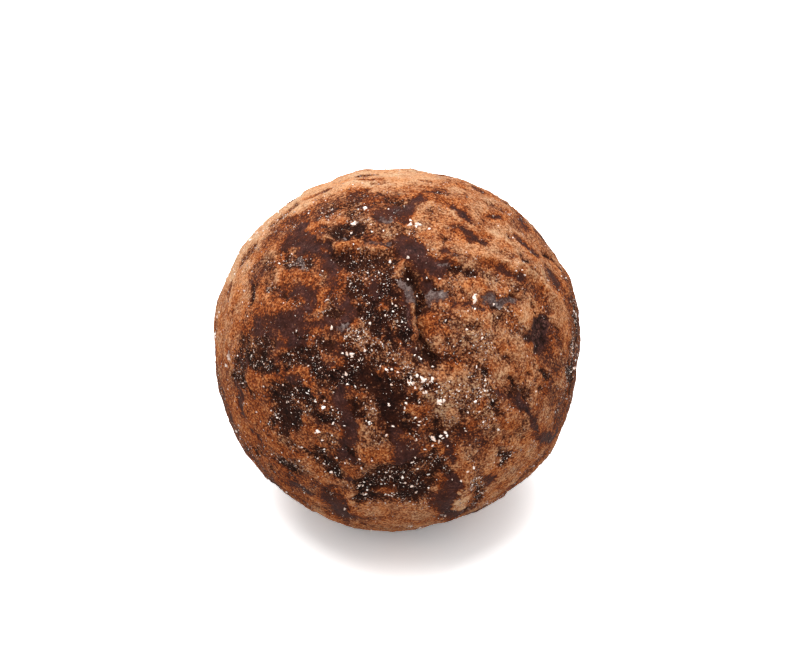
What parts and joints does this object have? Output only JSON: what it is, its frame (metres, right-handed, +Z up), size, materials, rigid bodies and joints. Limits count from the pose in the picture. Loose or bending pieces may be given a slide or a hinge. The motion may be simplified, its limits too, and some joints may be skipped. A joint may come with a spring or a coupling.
{
  "type": "chocolate truffle",
  "caption": "Hand-rolled ball of dark chocolate ganache in a thin, smeared and folded chocolate coat dusted with cocoa, resting on a small flat spot.",
  "frame": {"origin": "middle of the truffle's footprint, at the height of the flat spot that it rests on", "axes": "+Z up, -Y towards the side with the boldest folds, +X to the right seen from that side"},
  "size_m": [0.0304, 0.0306, 0.0297],
  "materials": {
    "cocoa_dusted_chocolate": "matt cocoa powder over thin dark chocolate, with bare satin streaks",
    "sugar_grains": "small white crystals stuck in the coat",
    "cocoa_crumbs": "clumped cocoa powder, matt"
  },
  "bodies": {
    "root": {"truffle": "cocoa_dusted_chocolate"}
  },
  "joints": []
}
